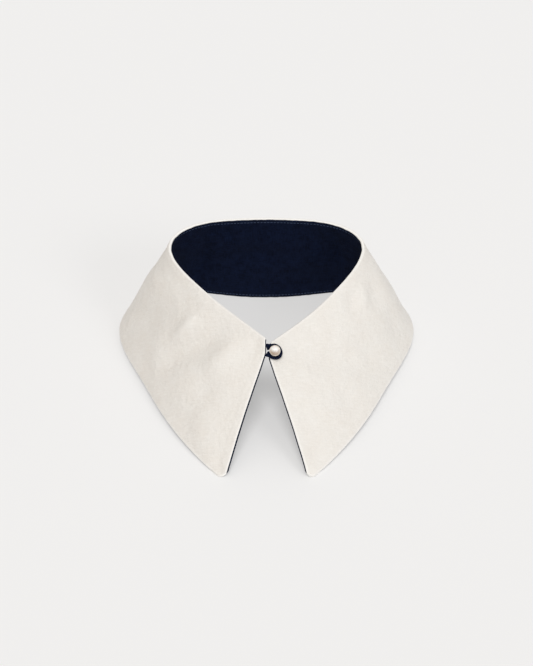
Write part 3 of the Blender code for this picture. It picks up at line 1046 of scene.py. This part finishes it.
def brass():
    """Brushed brass with a little tarnish."""
    n = Nodes(bpy.data.materials.new("shank_metal"))
    tarnish = n.noise(n.add("TexCoord").outputs["Object"], 900.0, 4.0, 0.6)
    n.set(Base_Color=n.mix(tarnish, BRASS, BRASS_TARNISH), Metallic=1.0,
          Roughness=n.band(tarnish, 0.3, 0.7, 0.28, 0.5), Normal=n.bump(tarnish, 0.04, 0.3))
    return n.owner


# ---------------- The collar

cream = sateen()
dark = navy()
outer = outer_cloth(cream)
lining = lining_cloth(dark)
stitches = understitching(thread())
loop = rouleau_loop(dark)
bead = pearl(nacre())
post = shank_post(brass())

SLOTS = ((outer, "cream_sateen"), (lining, "navy_cotton"), (stitches, "navy_cotton"),
         (loop, "navy_cotton"), (bead, "pearl"), (post, "shank_metal"))
for piece, slot in SLOTS:
    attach(piece, BODY)

# ---------------- Floor, light and camera

FLOOR_HALF = 3.0          # metres
FLOOR_COLOUR = (0.500, 0.497, 0.495)
FLOOR_GLOW = 0.375        # a lit table, which softens the shadows
FLOOR_GLOW_COLOUR = (1.0, 0.99, 0.98)


def floor():
    h = FLOOR_HALF
    mesh = bpy.data.meshes.new("floor")
    mesh.from_pydata([(-h, -h, 0.0), (h, -h, 0.0), (h, h, 0.0), (-h, h, 0.0)], [], [(0, 1, 2, 3)])
    n = Nodes(bpy.data.materials.new("floor"))
    n.set(Base_Color=FLOOR_COLOUR, Roughness=0.9, Specular_IOR_Level=0.0,
          Emission_Color=FLOOR_GLOW_COLOUR, Emission_Strength=FLOOR_GLOW)
    mesh.materials.append(n.owner)
    place("floor", mesh)


SKY_WARM = (1.0, 0.955, 0.90)  # from the left
SKY_COOL = (0.985, 0.995, 1.0)  # from the right
SKY_STRENGTH = 0.60       # overhead
SKY_HORIZON = 0.50        # share of it at the horizon
SKY_ACROSS = (-0.8, 0.5)  # X of the directions between which warm turns to cool
SKY_UP = (0.1, 0.8)       # Z of those between which the horizon's strength turns to overhead's
SUNS = (
    # towards the light: azimuth from +X and elevation in degrees; strength; spread in degrees
    (-96.0, 66.0, 1.32, 24.0),
    (-42.0, 34.0, 0.52, 22.0),
)


def lights():
    """A sky that is warm on the left and cool on the right, and two soft suns from the front."""
    n = Nodes(bpy.data.worlds.new("studio"), "Background")
    split = n.add("SeparateXYZ", vector=n.add("TexCoord").outputs["Generated"])
    side = n.band(split.outputs["X"], *SKY_ACROSS)
    rise = n.band(split.outputs["Z"], *SKY_UP, SKY_STRENGTH * SKY_HORIZON, SKY_STRENGTH)
    n.set(Color=n.mix(side, SKY_WARM, SKY_COOL), Strength=rise)
    bpy.context.scene.world = n.owner
    for k, (azimuth, elevation, strength, spread) in enumerate(SUNS):
        a, e = math.radians(azimuth), math.radians(elevation)
        towards = Vector((math.cos(e) * math.cos(a), math.cos(e) * math.sin(a), math.sin(e)))
        data = bpy.data.lights.new(f"softbox_{k}", "SUN")
        data.energy = strength
        data.angle = math.radians(spread)
        light = place(data.name, data)
        light.rotation_euler = towards.to_track_quat("Z", "Y").to_euler()


VIEW_RISE = math.radians(42.0)
VIEW_DISTANCE = 3.0       # metres
VIEW_AHEAD = 71.4         # from the neck edge at the centre of the back, in millimetres
VIEW_TARGET = Vector((0.07, NECK_CENTRE_Y - VIEW_AHEAD, 30.0)) * MM
VIEW_END = 20.0           # metres
LENS = 235.1
SENSOR = 36.0


def camera():
    back = Vector((0.0, -math.cos(VIEW_RISE), math.sin(VIEW_RISE)))
    data = bpy.data.cameras.new("camera")
    data.lens = LENS
    data.sensor_width = SENSOR
    data.clip_end = VIEW_END
    view = place("camera", data)
    view.location = VIEW_TARGET + back * VIEW_DISTANCE
    view.rotation_euler = back.to_track_quat("Z", "Y").to_euler()
    bpy.context.scene.camera = view


floor()
lights()
camera()
bpy.context.scene.view_settings.view_transform = "Standard"
